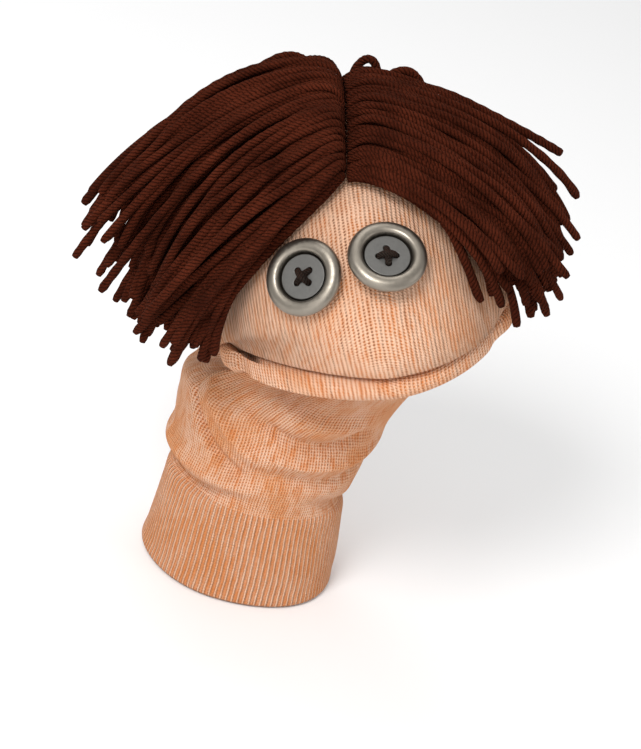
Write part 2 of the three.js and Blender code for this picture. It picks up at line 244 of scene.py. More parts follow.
def knit_material(name, rib=False):
    """Marled stockinette: pale columns of V's, with a chain of dark gaps between each two. The map's u is the
    number of the column over a hundred, and its v is the number of the row over a hundred."""
    m = Nodes(name)
    uv = m.node("ShaderNodeUVMap", uv_map="knit").outputs[0]
    # The knit's own warmer, more orange tone on the cuff and leg, together with painted shade near the mouth
    # and under the jaw.
    warmth_and_mouth_shade = m.node("ShaderNodeAttribute", attribute_name="warmth_and_mouth_shade").outputs["Fac"]
    split = m.node("ShaderNodeSeparateXYZ")
    m.put(split.inputs[0], uv)
    wale = m.mul(split.outputs[0], 100.0)
    course = m.mul(split.outputs[1], 100.0)
    waver = m.sub(m.noise(m.vector(m.mul(wale, 0.4), m.mul(course, 0.3)), 1.0, 3.0), 0.5)
    wale = m.add(wale, m.mul(waver, 0.5))
    away = m.math("ABSOLUTE", m.sub(m.math("FRACT", wale), 0.5))  # 0 in the gap between two columns
    beat = m.math("SINE", m.mul(m.add(course, m.mul(waver, 0.8)), 2 * math.pi))
    channel = m.ramp(away, 0.30, 0.02)
    dot = m.mul(m.ramp(away, 0.34, 0.06), m.ramp(beat, -0.4, 0.9))
    vee = m.math("SINE", m.mul(m.add(course, m.mul(away, 1.1)), 2 * math.pi))
    # The dark ply is orange in some columns and brown in others, and it comes and goes along them.
    wale_id = m.math("FLOOR", wale)
    column = m.noise(m.vector(m.mul(wale_id, 0.73), m.mul(course, 0.045)), 1.0, 2.0)
    streak = m.noise(m.vector(m.mul(wale_id, 0.61), m.mul(course, 0.13)), 1.0, 3.0, 0.65)
    broad = m.noise(m.vector(m.mul(wale, 0.05), m.mul(course, 0.04)), 1.0, 2.0)
    tint = m.ramp(m.add(m.add(column, m.mul(streak, 0.5)), m.mul(warmth_and_mouth_shade, 0.3)), 0.62, 0.95)
    dark = m.mix(tint, BROWN, ORANGE)
    strength = m.add(m.ramp(streak, 0.36, 0.64, 0.25, 1.1), m.mul(column, 0.3))
    cover = m.mul(m.add(m.mul(channel, 0.32), m.mul(dot, 0.95)), m.add(strength, m.mul(warmth_and_mouth_shade, 0.3)))
    blush = m.mul(m.ramp(m.add(broad, m.mul(streak, 0.6)), 0.62, 1.0), m.add(0.25, m.mul(warmth_and_mouth_shade, 0.75)))
    pale = m.mix(m.add(m.mul(blush, 0.8), m.mul(warmth_and_mouth_shade, 0.04)), PALE, (0.70, 0.28, 0.10, 1))
    marl = m.mul(m.ramp(streak, 0.5, 0.68), m.add(0.14, m.mul(warmth_and_mouth_shade, 0.3)))
    colour = m.mix(cover, m.mix(marl, pale, dark), dark)
    relief = m.sub(m.mul(vee, 0.25), m.add(m.mul(channel, 0.4), dot))
    if rib:
        ridge = m.math("SINE", m.mul(wale, math.pi / 2))  # every second column stands out
        ridge = m.mul(ridge, ridge)
        sunk = m.mul(m.ramp(ridge, 0.7, 0.1), m.add(0.45, m.mul(streak, 0.5)))
        colour = m.mix(m.mul(m.ramp(ridge, 0.4, 0.95), 0.5), colour, (0.86, 0.56, 0.39, 1))
        colour = m.mix(m.mul(sunk, 0.9), colour, (0.60, 0.18, 0.04, 1))
        relief = m.add(m.mul(relief, 0.5), m.mul(ridge, 1.8))
    fuzz = m.noise(m.vector(m.mul(wale, 5.0), m.mul(course, 5.0)), 1.0, 3.0)
    colour = m.mix(m.mul(m.ramp(fuzz, 0.5, 0.8), 0.18), colour, (0.9, 0.68, 0.52, 1))
    m.height(m.add(relief, m.mul(fuzz, 0.3)), 0.0009 if rib else 0.0006, 0.9)
    return m.set(Base_Color=colour, Roughness=0.95, Sheen_Weight=0.12, Sheen_Roughness=0.5,
                 Sheen_Tint=(1.0, 0.8, 0.65, 1), Specular_IOR_Level=0.1)


# ---- The sock's shape ----
LEG = np.array([  # height, half width, half depth, centre across
    [-14, 34.6, 32, 0], [0, 34.6, 32, 0], [8, 34.4, 31.5, 0], [22, 33.2, 30.5, -0.8], [34, 32.4, 29.5, -1.2],
    [48, 34.2, 30, -0.8], [62, 36.6, 30.6, 0], [78, 38.6, 31, 0.8], [92, 40, 31, 1.6]])
MOUTH_HALF = 45.5
COLUMNS = 360
ANKLE_MIDDLE = 61.65
HEAD_LINE = [(-60, 28), (-54, 56), (-38, 69), (-18, 70), (2, 62), (20, 51.5), (35, 37.5), (45, 23.5),
             (48.2, 12.5), (47, 5.5), (44.2, 1.4), (40, 0.3), (23, 0.15), (4, 0.15)]
CHIN_LINE = [(10, -17.6), (19, -14.2), (27, -11.4), (34, -9.2), (39.5, -8.4), (43.6, -7.2), (45.4, -4.6),
             (45, -2.2), (42.8, -0.7), (39, -0.3), (31, -0.2), (22, -0.15), (13, -0.15), (4, -0.15)]
# Round each corner of the mouth the knit rolls over and in: (outwards, forward, up) from the corner, by row.
CORNER = [(-1, -4, -10), (0.5, -3.5, -9), (1.8, -2.5, -8), (2.8, -1.5, -7), (3.6, -0.5, -5.8),
          (4.2, 0.3, -4.4), (4.5, 1, -2.8), (4.4, 1.4, -1.2), (3.8, 1.8, 0.2), (2.6, 2.1, 1.2),
          (1.1, 2.4, 1.5), (-0.5, 2.6, 0.8), (-1.8, 2.7, -0.6), (-2.8, 2.8, -2.2), (-3.6, 2.8, -4)]
THROAT = (3, -20.6)
ROWS = {"leg": [8, 8, 10, 12, 12, 12, 12, 14, 14, 14, 16], "bend": 22, "head": [12] * 9 + [6, 6, 10, 12, 12]}


def leg_at(z):
    s = spline(LEG, [60] * (len(LEG) - 1))
    return [np.interp(z, s[:, 0], s[:, k]) for k in (1, 2, 3)]


def fullness(across, power):
    return (1 - np.minimum(1, np.abs(across)) ** power) ** (1 / power)


def lip_reach(across, middle, left_power, right_power):
    left = fullness((across - middle) / (1 + middle), left_power)
    return np.where(across < middle, left, fullness((across - middle) / (1 - middle), right_power))


def upper_point(forward, height, across):
    lift = smoothstep(height, 4, 32)
    lip = lip_reach(across, 0.17, 1.32, 2.1)
    reach = fullness(across, 2) if forward < 0 else lip * (1 - lift) + fullness(across, 2.2) * lift
    return np.stack([MOUTH_HALF * across, -forward * reach, height * fullness(across, 2.2)], -1)


def lower_point(forward, height, across):
    lift = smoothstep(-height, 3, 20)
    lip = lip_reach(across, 0.22, 1.5, 1.75)
    reach = lip * (1 - lift) + fullness(across, 2.1) * lift
    full = fullness(across, 2.1)
    # The lip is as thick all along.
    even = smoothstep(forward, 34, 42) * (1 - smoothstep(np.abs(across), 0.86, 0.99))
    full = full + (0.92 - full) * even
    return np.stack([MOUTH_HALF * across, -forward * reach, height * full], -1)


def sock_grid():
    """Rows of points up the sock, all the way round.

    Past the rim row, the back half of each row goes on over the crown and down the face. The front half goes
    under the chin. Both run into the mouth and meet there."""
    turn = (np.arange(COLUMNS) + 0.5) / COLUMNS * 2 * math.pi
    side, behind = np.cos(turn), np.sin(turn)
    half = COLUMNS // 2
    stations = [0, 4, 8, 15, 22, 28, 34, 41, 48, 55, ANKLE_MIDDLE, 70]
    control = []
    for z in stations:
        wide, deep, x = leg_at(z)
        control.append(np.stack([x + wide * side, deep * behind, np.full(COLUMNS, float(z))], -1))
    rim = np.where(
        (behind > 0)[:, None],
        np.stack([MOUTH_HALF * side, 54 * behind, 0 * side], -1),
        lower_point(THROAT[0], THROAT[1], side))
    control.append(rim)
    ends = smoothstep(np.abs(side), 0.86, 0.985)  # the slit closes towards the corners
    gape = 0.06 + 3.2 * bump(side, -0.85, 0.055) + 0.3 * bump(side, 0.93, 0.03)
    for upper, lower in zip(HEAD_LINE, CHIN_LINE):
        points = []
        for (forward, height), place in ((upper, upper_point), (lower, lower_point)):
            inside = abs(height) < 0.5
            f = forward + (46 - forward) * ends if inside else forward
            p = np.stack([place(ff, height, a) for ff, a in zip(np.broadcast_to(f, side.shape), side)])
            if inside:
                p[:, 2] = math.copysign(1, height) * gape * (1 - ends * 0.9) * (forward > 8)
            points.append(p)
        control.append(np.where((behind > 0)[:, None], points[0], points[1]))
    near = smoothstep(np.abs(side), 0.9, 0.999)[:, None]
    way = np.sign(side)
    for k, (out, forward, height) in enumerate(CORNER):
        size = np.where(side < 0, 1.0, 0.85)
        shift = np.stack([way * out * size, -forward * size, height * size], -1)
        control[len(stations) + k] = from_head(control[len(stations) + k] + near * shift)
    steps = ROWS["leg"] + [ROWS["bend"]] + ROWS["head"]
    grid = spline(np.array(control), steps)
    marks = {"ankle": sum(ROWS["leg"][:10]), "rim": sum(ROWS["leg"]) + ROWS["bend"]}
    return grid, marks, turn, half


def relax(grid, low, high, times):
    """Evens out the rows from low to high, most in the middle of the span."""
    rows = np.arange(len(grid))
    half = (low + high) / 2
    weight = (smoothstep(rows, low, half) * smoothstep(-rows, -high, -half))[:, None, None]
    for _ in range(times):
        mean = grid.copy()
        mean[1:-1] = (grid[:-2] + grid[2:] + np.roll(grid[1:-1], 1, 1) + np.roll(grid[1:-1], -1, 1)) / 4
        grid = grid + (mean - grid) * weight
    return grid


def normals_of(grid):
    down = np.gradient(grid, axis=0)
    round_ = np.roll(grid, -1, 1) - np.roll(grid, 1, 1)
    n = np.cross(round_, down)
    return n / (np.linalg.norm(n, axis=-1, keepdims=True) + 1e-9)


# Soft folds in the leg and throat: (angle round the leg, height) along each, its width, and how high it stands.
# All of them are raised by FOLD_RISE.
FOLD_RISE = 1.3
FOLDS = [
    ([(165, 38), (195, 37), (222, 36), (246, 39)], 2.6, -2.6),
    ([(160, 46), (190, 44), (225, 43), (262, 44)], 3.6, 1.9),
    ([(200, 74), (212, 63), (228, 54), (252, 47)], 2.4, -2.2),
    ([(205, 80), (222, 70), (240, 61), (262, 54)], 3.6, 2.0),
    ([(240, 75), (264, 67), (290, 65), (318, 70)], 2.6, -2.6),
    ([(228, 86), (255, 77), (285, 74), (315, 78)], 3.2, 2.2),
    ([(255, 59), (285, 57), (312, 59), (335, 63)], 2.6, 1.7),
    ([(258, 52), (288, 50), (318, 51), (340, 54)], 2.6, -1.6),
    ([(300, 40), (325, 37), (350, 36), (372, 37)], 2.8, -2.2),
    ([(20, 56), (60, 50), (110, 52), (150, 58)], 4.0, 1.6),
    ([(15, 70), (60, 66), (110, 68), (160, 74)], 3.5, -1.8),
    ([(30, 84), (80, 80), (120, 82), (160, 90)], 4.0, 1.6),
]


def fold_heights(angle, z):
    total = np.zeros_like(z)
    for path, width, rise in FOLDS:
        path = np.array(path, float)
        line = spline(path, [12] * (len(path) - 1))
        turn = (angle - line[0, 0] + 180) % 360 - 180 + line[0, 0]
        turn = np.where(turn < line[0, 0] - 60, turn + 360, turn)
        at = np.interp(turn, line[:, 0], line[:, 1])
        along = (turn - line[0, 0]) / (line[-1, 0] - line[0, 0])
        fade = smoothstep(along, -0.25, 0.25) * smoothstep(-along, -1.25, -0.75)
        total += FOLD_RISE * rise * fade * bump(z, at, width)
    return total


def sock():
    grid, marks, turn, half = sock_grid()
    grid = relax(grid, marks["rim"] - 26, marks["rim"] + 16, 30)
    rows = len(grid)
    angle = np.degrees(np.broadcast_to(turn, grid.shape[:2]))
    on_leg = (1 - smoothstep(np.arange(rows), marks["rim"] - 4, marks["rim"] + 6))[:, None]
    rise = fold_heights(angle, grid[..., 2]) * on_leg
    z = grid[..., 2]
    edge = bump(z, 0, 3.0) * 0.5 * on_leg  # the cuff's edge rolls out a little
    rise = rise + edge - 0.5 * bump(z, 35, 2.2) * on_leg
    ripple = 0.25 * np.sin(np.radians(angle) * 5 + z * 0.12) * on_leg
    grid = grid + normals_of(grid) * (rise + ripple)[..., None]
    climb = np.linalg.norm(np.diff(grid, axis=0), axis=-1)
    arc = np.concatenate([np.zeros((1, COLUMNS)), np.cumsum(climb, 0)])
    arc = arc / COURSE / 100
    change = smoothstep(np.arange(rows), marks["ankle"] + 4, marks["rim"] + 8)
    wales = LEG_WALES + (HEAD_WALES - LEG_WALES) * change
    warmth_and_mouth_shade = 1 - smoothstep(np.arange(rows), marks["ankle"] + 10, marks["rim"] + 16)
    # Towards the lips the knit is painted darker and more orange: painted shade where the upper lip overhangs,
    # partly the denser, less stretched knit there.
    warmth_and_mouth_shade = warmth_and_mouth_shade + 0.35 * smoothstep(np.arange(rows), marks["rim"] + 66, marks["rim"] + 104)
    # The jaw's half is painted darker still: painted shade on the downward-facing lower lip and chin, partly
    # the denser knit there.
    jaw_shade_and_dense_knit = 0.4 * smoothstep(np.arange(rows), marks["rim"], marks["rim"] + 24)

    def knit_u(r, column):
        """The stitch column over a hundred, counted from the middle of the back or of the front."""
        turns = (column + 0.5) / COLUMNS
        return (turns - (0.25 if column < half else 0.75)) * wales[r] / 100

    def piece(columns, low, high, extra=()):
        pairs = [(a, a + 1) for a in columns] + list(extra)
        used, faces, uvs = {}, [], []

        def index(r, c):
            return used.setdefault((r, c % COLUMNS), len(used))

        for r in range(low, high):
            for a, b in pairs:
                faces.append([index(r, a), index(r, b), index(r + 1, b), index(r + 1, a)])
                u = [knit_u(row, a) for row in (r, r + 1)]
                step = [wales[row] / COLUMNS / 100 for row in (r, r + 1)]
                uvs += [(u[0], arc[r, a % COLUMNS]), (u[0] + step[0], arc[r, b % COLUMNS]),
                        (u[1] + step[1], arc[r + 1, b % COLUMNS]), (u[1], arc[r + 1, a % COLUMNS])]
        verts = np.array([grid[r, c] for r, c in used])
        return verts, faces, uvs, [warmth_and_mouth_shade[r] + jaw_shade_and_dense_knit[r] * (c >= half) for r, c in used]

    def joined(name, *parts):
        verts, faces, uvs, tones = [], [], [], []
        for v, f, u, tone in parts:
            start = sum(len(x) for x in verts)
            verts.append(v)
            faces += [[i + start for i in q] for q in f]
            uvs += u
            tones += tone
        obj = new_mesh(name, np.concatenate(verts), faces, uvs)
        layer = obj.data.attributes.new("warmth_and_mouth_shade", "FLOAT", "POINT")
        layer.data.foreach_set("value", np.array(tones, np.float32))
        weld = obj.modifiers.new("weld", "WELD")
        weld.merge_threshold = 1e-6
        return obj

    last = rows - 1
    ankle, rim = marks["ankle"], marks["rim"]
    cuff_top = sum(ROWS["leg"][:6])
    cuff = joined("sock_cuff", piece(range(COLUMNS), 0, cuff_top), cuff_inside(grid, cuff_top))
    leg = joined("sock_leg", piece(range(COLUMNS), cuff_top, ankle))
    head = joined("sock_head", piece(range(COLUMNS), ankle, rim),
                  piece(range(half - 1), rim, last, [(half - 1, half), (COLUMNS - 1, COLUMNS)]))
    jaw = joined("sock_jaw", piece(range(half, COLUMNS - 1), rim, last))
    return cuff, leg, head, jaw


def cuff_inside(grid, top):
    """The cuff's bound-off edge and its inner face."""
    out = grid[0]
    centre = out.mean(0)
    inward = centre - out
    inward /= np.linalg.norm(inward, axis=-1, keepdims=True)
    rings = [out]
    for step in np.linspace(0, math.pi, 7)[1:]:
        ring = out + inward * 1.1 * (1 - math.cos(step))
        ring[:, 2] -= 1.1 * math.sin(step)
        rings.append(ring)
    for r in range(4, top + 1, 4):
        source = grid[r]
        middle = source.mean(0)
        way = middle - source
        way[:, 2] = 0
        way /= np.linalg.norm(way, axis=-1, keepdims=True)
        rings.append(source + way * 2.2)
    rings = np.array(rings[::-1])
    n = COLUMNS
    faces, uvs = [], []
    for r in range(len(rings) - 1):
        for a in range(n):
            b = (a + 1) % n
            faces.append([r * n + a, r * n + b, (r + 1) * n + b, (r + 1) * n + a])
            v0, v1 = -(len(rings) - 1 - r) / 100, -(len(rings) - 2 - r) / 100
            u0 = ((a + 0.5) / n - (0.25 if a < n // 2 else 0.75)) * LEG_WALES / 100
            u1 = u0 + LEG_WALES / n / 100
            uvs += [(u0, v0), (u1, v0), (u1, v1), (u0, v1)]
    return rings.reshape(-1, 3), faces, uvs, [1.0] * rings.shape[0] * n


knit = knit_material("knit")
rib_knit = knit_material("rib_knit", rib=True)
cuff, leg, head, jaw = sock()
for obj in (cuff, leg, head, jaw):
    look, slot = (rib_knit, "rib_knit") if obj == cuff else (knit, "knit")
    obj.data.materials.append(look)
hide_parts("cuff")
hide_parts("leg", "lower_ankle_fold")
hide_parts("ankle", "upper_ankle_fold", "nape", "head", "mouth_roof")
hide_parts("jaw", "mouth_floor")
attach(cuff, "leg")
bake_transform(leg)
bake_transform(head)
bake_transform(jaw)

# ---- The yarn hair ----
# A strand is a cubic, mixed from its bunch: a way, and then the last three handles of the strands against the
# head and of the outer ones, each at the front, middle and back of the parting, where the first handle lies.
# A handle is (across, forward, up) from the middle of the mouth, upright.
PARTING = {
    "under": [(-22, 14.5, 54.5), (-25.5, -19, 66.8), (-24.5, -54, 55)],
    "over": [(-22.5, 16.5, 57.5), (-26.5, -19, 70), (-25.5, -55, 58.5)],
}
BUNCHES = {
    "left": (-1, [
        [(-28, 26, 45), (-45, 36, 14), (-46, 24, -17)],
        [(-44, -14, 70), (-68, -8, 38), (-66, 2, -16)],
        [(-30, -65, 50), (-36, -71, 26), (-38, -70, -8)],
    ], [
        [(-32, 34, 56), (-57, 44, 22), (-58, 30, -17)],
        [(-46, -16, 82), (-80, -10, 54), (-96, -4, 6)],
        [(-40, -56, 60), (-64, -58, 37), (-86, -48, 9)],
    ]),
    "right": (1, [
        [(-7, 20, 61), (12, 28, 54), (32, 32, 32)],
        [(-2, -16, 74), (28, -12, 64), (48, -6, 26)],
        [(-19, -66, 50), (-10, -72, 28), (-4, -71, -4)],
    ], [
        [(-4, 27, 70), (25, 34, 62), (44, 28, 36)],
        [(-4, -16, 82), (36, -14, 72), (59, -16, 41)],
        [(-8, -56, 64), (26, -60, 57), (52, -50, 37)],
    ]),
}
STRANDS = (26, 8)  # along the parting, and from the head outwards
YARN = 1.45  # radius
PLIES, PLY_TURN = 4, 5.6  # plies in the yarn, and the length of one whole turn


def through_three(points, t):
    a, b, c = (np.array(p, float) for p in points)
    return a * (1 - t) * (1 - 2 * t) + b * 4 * t * (1 - t) + c * t * (2 * t - 1)


def handles(side, along, layer):
    way, under, over = BUNCHES[side]
    made = []
    low, high = through_three(PARTING["under"], along), through_three(PARTING["over"], along)
    made.append(low + (high - low) * layer + np.array([way * 0.9, 0, 0]))
    for k in range(3):
        low = through_three([row[k] for row in under], along)
        high = through_three([row[k] for row in over], along)
        made.append(low + (high - low) * layer)
    return np.array(made)


def bezier(p, t):
    t = t[:, None]
    return (1 - t) ** 3 * p[0] + 3 * (1 - t) ** 2 * t * p[1] + 3 * (1 - t) * t * t * p[2] + t**3 * p[3]


SHELL_MIDDLE = np.array([-5.0, 28.0])
SHELL_HALF = MOUTH_HALF + 4  # the rolled corners of the mouth stand past the middle of the roll
_outline = spline(np.array([(-54, 0)] + HEAD_LINE[:12] + [(20, -2), (-54, 0)], float), [20] * 14)
_polar = _outline - SHELL_MIDDLE
_order = np.argsort(np.arctan2(_polar[:, 1], _polar[:, 0]))
SHELL_ANGLE = np.arctan2(_polar[:, 1], _polar[:, 0])[_order]
SHELL_RADIUS = np.linalg.norm(_polar, axis=1)[_order]


def off_the_head(points, clear):
    """Moves points of a strand, given in the row frame, out of the head."""
    p = to_head(points)
    a = np.clip(p[:, 0] / SHELL_HALF, -0.97, 0.97)
    forward = -p[:, 1] / fullness(a, 2.2)
    height = p[:, 2] / fullness(a, 2.2)
    fh = np.stack([forward, height], -1) - SHELL_MIDDLE
    size = np.linalg.norm(fh, axis=1)
    reach = np.interp(np.arctan2(fh[:, 1], fh[:, 0]), SHELL_ANGLE, SHELL_RADIUS, period=2 * math.pi)
    grow = np.maximum(1, reach * (1 + clear / 45) / np.maximum(size, 1e-6))
    grow = np.where((p[:, 2] < 0) | (np.abs(p[:, 0]) > SHELL_HALF), 1, np.minimum(grow, 1.25))
    middle = np.array([0, -SHELL_MIDDLE[0], SHELL_MIDDLE[1]])
    return from_head(middle + (p - middle) * grow[:, None])


def yarn_tube(path, radius, phase, plies=PLIES, sides=10, pitch=PLY_TURN):
    """A plied yarn along a path, with a blunt end. Its map counts the plies: u round it, and v along it."""
    d = np.gradient(path, axis=0)
    t = d / np.linalg.norm(d, axis=1, keepdims=True)
    n = np.zeros_like(path)
    start = np.cross(t[0], (0.3, 0.5, 0.8))
    n[0] = start / np.linalg.norm(start)
    for i in range(1, len(path)):
        v = n[i - 1] - t[i] * (n[i - 1] @ t[i])
        n[i] = v / np.linalg.norm(v)
    b = np.cross(t, n)
    length = np.concatenate([[0], np.cumsum(np.linalg.norm(np.diff(path, axis=0), axis=1))])
    around = np.arange(sides) / sides * 2 * math.pi
    twist = length / pitch * 2 * math.pi + phase
    lobes = 1 + 0.07 * np.cos(plies * (around[None, :] - twist[:, None]))
    size = np.broadcast_to(radius, length.shape)[:, None] * lobes
    ring = path[:, None] + size[..., None] * (
        np.cos(around)[None, :, None] * n[:, None] + np.sin(around)[None, :, None] * b[:, None])
    cap = path[-1] + t[-1] * np.broadcast_to(radius, length.shape)[-1] * 0.3
    verts = np.concatenate([ring.reshape(-1, 3), [path[0], cap]])
    k = len(path)
    i, j = np.meshgrid(np.arange(k - 1), np.arange(sides), indexing="ij")
    jj = (j + 1) % sides
    near, far = i * sides, (i + 1) * sides
    faces = np.stack([near + j, near + jj, far + jj, far + j], -1).reshape(-1, 4)
    u0, u1 = j / sides * plies, (j + 1) / sides * plies
    v0, v1 = (length[i] / pitch + phase) * plies, (length[i + 1] / pitch + phase) * plies
    uvs = np.stack([u0, v0, u1, v0, u1, v1, u0, v1], -1).reshape(-1, 2)
    faces = [tuple(f) for f in faces]
    for j in range(sides):
        jj = (j + 1) % sides
        faces += [(k * sides, jj, j), (k * sides + 1, (k - 1) * sides + j, (k - 1) * sides + jj)]
    uvs = np.concatenate([uvs, np.full((6 * sides, 2), 0.5)])
    return verts, faces, uvs


def yarn_mesh(name, tubes):
    verts, faces, count = [], [], 0
    for v, f, _ in tubes:
        verts.append(v)
        faces += [tuple(i + count for i in q) for q in f]
        count += len(v)
    return new_mesh(name, np.concatenate(verts), faces, np.concatenate([uv for _, _, uv in tubes]))


def strand_path(points, wobble, ends_at=1.0, mound=0.0):
    """A strand's path from its four handles, with slow waves that grow towards its free end.

    Near the parting it stands higher by the mound."""
    rough = bezier(points, np.linspace(0, 1, 60))
    length = np.linalg.norm(np.diff(rough, axis=0), axis=1).sum() * ends_at
    steps = max(12, int(length / 1.1))
    t = np.linspace(0, ends_at, steps)
    path = bezier(points, t)
    path[:, 2] += mound * t / 0.09 * np.exp(1 - t / 0.09)
    wave = rng.normal(0, 1, (3, 3))
    for k, size in enumerate((1.0, 0.55, 0.3)):
        phase = rng.uniform(0, 2 * math.pi)
        sway = wobble * size * (t**1.2) * np.sin(t * (k + 1.5) * math.pi + phase)
        path = path + sway[:, None] * wave[k] * 0.6
    return path


def hair(side):
    """One bunch's strands, in groups from the front of the parting to its back. Neighbours hang in clumps."""
    groups = [[] for _ in range(5)]
    along_count, layer_count = STRANDS
    clumps = {}
    for i in range(along_count):
        for j in range(layer_count):
            # Drawn for every strand, and kept from the first of its clump.
            drawn = (rng.normal(0, 2.5, (4, 3)), rng.uniform(0.93, 1.03))
            clump = clumps.setdefault((i // 3, j // 2), drawn)
            along = np.clip((i + rng.uniform(0.1, 0.9)) / along_count, 0, 1)
            layer = np.clip((j + rng.uniform(0.0, 1.0)) / layer_count, 0, 1)
            clump_along = min(1, (i // 3 * 3 + 1.5) / along_count)
            middle = handles(side, clump_along, min(1, (j // 2 * 2 + 1) / layer_count))
            p = handles(side, along, layer)
            hang_along = np.clip(along + rng.normal(0, 0.05), 0, 1)
            hang = handles(side, hang_along, np.clip(layer + rng.normal(0, 0.2), 0, 1))
            p = p + (hang - p) * np.array([0, 0.5, 1, 1])[:, None]
            pull = np.array([0, 0.2, 0.35, 0.2])[:, None]
            p = p + (middle - p) * pull + clump[0] * np.array([0, 0.5, 1.0, 1.2])[:, None]
            p[1:] += rng.normal(0, 1, (3, 3)) * np.array([1.1, 2.2, 4.0])[:, None]
            path = strand_path(p, 1.7, clump[1] * rng.uniform(0.92, 1.03), 3.2 * layer)
            path = off_the_head(from_upright(path * [1, -1, 1]), 2.0 + layer)
            groups[min(4, int(along * 5))].append(path)
    return groups


STRAYS = {  # strands that stand away from the bunches, as the four handles of each
    "left": [
        [(-32, -38, 60), (-38, -40, 77), (-56, -40, 73), (-62, -40, 44)],
        [(-30, -20, 68), (-50, -30, 66), (-70, -38, 44), (-94, -40, 13)],
    ],
    "right": [
        [(-23, -42, 60), (-25, -42, 80), (-14, -42, 80), (-13, -42, 60)],
        [(-15, -40, 62), (-12, -40, 79), (-2, -40, 79), (6, -40, 62)],
        [(-20, -20, 72), (0, -36, 80), (30, -40, 66), (52, -40, 59)],
    ],
}


def yarn_material(name, dark, light):
    """Plied wool: the map's two numbers together say how far across its ply a point is."""
    m = Nodes(name)
    uv = m.node("ShaderNodeSeparateXYZ")
    m.put(uv.inputs[0], m.node("ShaderNodeUVMap", uv_map="knit").outputs[0])
    where = m.node("ShaderNodeTexCoord").outputs["Object"]
    fine = m.noise(where, 1500.0, 3.0, 0.6)
    broad = m.noise(where, 70.0, 2.0)
    phase = m.add(m.sub(uv.outputs[1], uv.outputs[0]), m.mul(m.noise(where, 500.0, 3.0), 0.9))
    ply = m.math("ABSOLUTE", m.math("SINE", m.mul(phase, math.pi)))
    ply = m.math("POWER", ply, 0.6)
    tone = m.ramp(m.add(m.mul(fine, 0.5), m.mul(broad, 0.5)), 0.3, 0.75)
    colour = m.mix(tone, dark, light)
    # The grooves between the plies are painted near black: painted shade.
    shade = tuple(c * 0.2 for c in dark[:3]) + (1,)
    colour = m.mix(m.mul(m.ramp(ply, 0.75, 0.1), 0.8), colour, shade)
    m.height(m.add(ply, m.mul(fine, 0.35)), 0.0006, 1.0)
    return m.set(Base_Color=colour, Roughness=0.95, Sheen_Weight=0.05, Sheen_Roughness=0.4,
                 Sheen_Tint=(0.8, 0.24, 0.11, 1), Specular_IOR_Level=0.03)


yarn = yarn_material("yarn", (0.026, 0.0048, 0.002, 1), (0.088, 0.0175, 0.0075, 1))
thread = yarn_material("thread", (0.008, 0.006, 0.005, 1), (0.03, 0.024, 0.02, 1))
for side in ("left", "right"):
    groups = hair(side)
    for points in STRAYS[side]:
        path = strand_path(np.array(points, float), 0.8)
        groups[2].append(off_the_head(from_upright(path * [1, -1, 1]), 2))
    for number, paths in enumerate(groups):
        tubes = []
        for path in paths:
            reach = np.linspace(0, 1, len(path))
            radius = YARN * (0.68 + 0.32 * smoothstep(reach, 0, 0.2)) * rng.uniform(0.93, 1.07)
            tubes.append(yarn_tube(path, radius * (1 - 0.25 * (reach > 0.995)), rng.uniform(0, 1)))
        obj = yarn_mesh(f"{side}_hair_{number + 1}", tubes)
        obj.data.materials.append(yarn)
        cover = [f"{side}_hair_{layer}_{number + 1}" for layer in ("under", "over")]
        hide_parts(*cover)
        way = -1 if side == "left" else 1
        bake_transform(obj)

# ---- The thread along the parting ----
tubes = []
for k in range(9):
    t = (k + 0.5) / 9
    low, high = through_three(PARTING["under"], t), through_three(PARTING["over"], t)
    path = np.array([low + (-1.4, 0, 0), high + (-2, 0, -3), high + (0, 0, -1.6),
                     high + (2, 0, -3), low + (1.4, 0, 0)])
    path = spline(path, [8] * 4)
    tubes.append(yarn_tube(from_upright(path * [1, -1, 1]), 0.6, 0.0, plies=3, sides=9, pitch=3))
tie = yarn_mesh("parting_stitches", tubes)
tie.data.materials.append(thread)
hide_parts("parting_tie")
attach(tie, "head")


# ---- The buttons ----
def metal(name, colour, rough, scratch):
    m = Nodes(name)
    where = m.node("ShaderNodeTexCoord").outputs["Object"]
    fine = m.noise(where, 900.0, 4.0, 0.65)
    m.height(fine, 0.00005, scratch)
    tone = m.ramp(m.noise(where, 260.0, 3.0), 0.3, 0.7, 0.82, 1.0)
    return m.set(Base_Color=m.mix(tone, tuple(c * 0.6 for c in colour) + (1,), colour + (1,)), Metallic=1.0,
                 Roughness=m.ramp(fine, 0.3, 0.7, rough - 0.05, rough + 0.1))


rim_look = metal("button_rim", (0.27, 0.24, 0.20), 0.38, 0.5)
plate_look = metal("button_plate", (0.15, 0.146, 0.138), 0.5, 0.8)


def lathe(profile, sides=128):
    profile = np.array(profile, float)
    turn = np.arange(sides) / sides * 2 * math.pi
    k = len(profile)
    verts = np.stack([np.outer(np.cos(turn), profile[:, 0]), np.outer(np.sin(turn), profile[:, 0]),
                      np.broadcast_to(profile[:, 1], (sides, k))], -1).reshape(-1, 3)
    faces = []
    for i in range(sides):
        for j in range(k):
            ii, jj = (i + 1) % sides, (j + 1) % k
            faces.append((i * k + j, ii * k + j, ii * k + jj, i * k + jj))
    return verts, faces


def button_frame(name):
    """The middle and axes of a CAD button, read from its rim, whose axis is the way in which it is thinnest."""
    co = np.array([v.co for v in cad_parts[name].data.vertices], float) / MM
    middle = co.mean(0)
    _, _, axes = np.linalg.svd(co - middle, full_matrices=False)
    out = axes[2]
    if out @ (middle - from_head([0, 0, 25])) < 0:
        out = -out
    base = middle + out * ((co - middle) @ out).min()
    flat = np.cross(out, HEAD[:, 2])
    flat /= np.linalg.norm(flat)
    return base, np.stack([-flat, np.cross(out, -flat), out], -1)


def place(verts, base, axes, spin=0.0):
    turned = np.asarray(verts) @ rot_z(spin).T
    return base + turned @ axes.T


